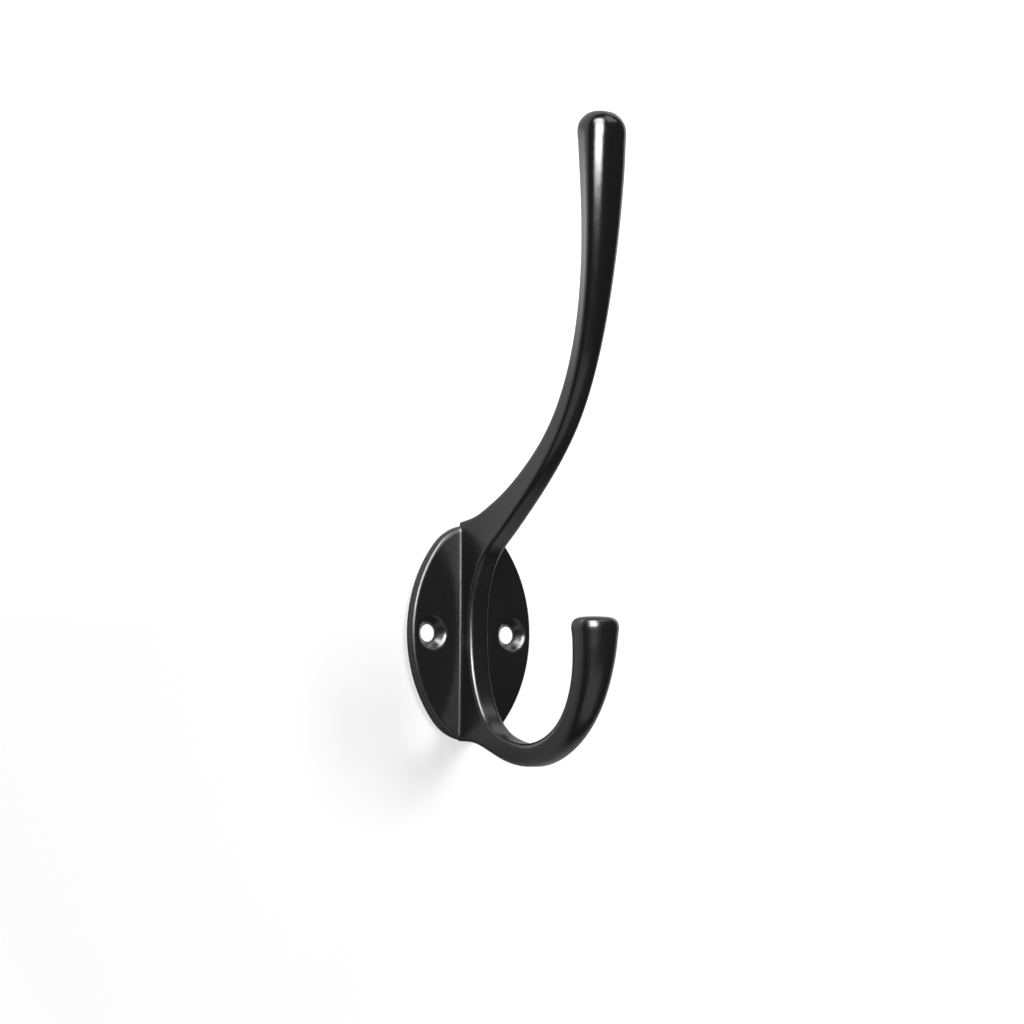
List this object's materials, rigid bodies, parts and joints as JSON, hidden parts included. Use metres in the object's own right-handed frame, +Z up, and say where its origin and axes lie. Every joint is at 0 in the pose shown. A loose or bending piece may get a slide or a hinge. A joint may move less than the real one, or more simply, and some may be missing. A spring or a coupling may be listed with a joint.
{
  "type": "coat hook",
  "caption": "Wall coat hook cast in one piece: an oval screw-fixed plate, a slender upper arm that sweeps up to a swollen domed tip, and a short upturned hook with a blunt tip below.",
  "frame": {"origin": "on the wall plate's back face, midway between the screw holes", "axes": "+Z up, +Y into the wall (the plate's back face lies in the plane Y = 0), the hook reaches out along -Y, X across the plate"},
  "size_m": [0.036, 0.054, 0.1514],
  "materials": {
    "black_finish": "satin"
  },
  "bodies": {
    "root": {"coat_hook": "black_finish"}
  },
  "joints": []
}
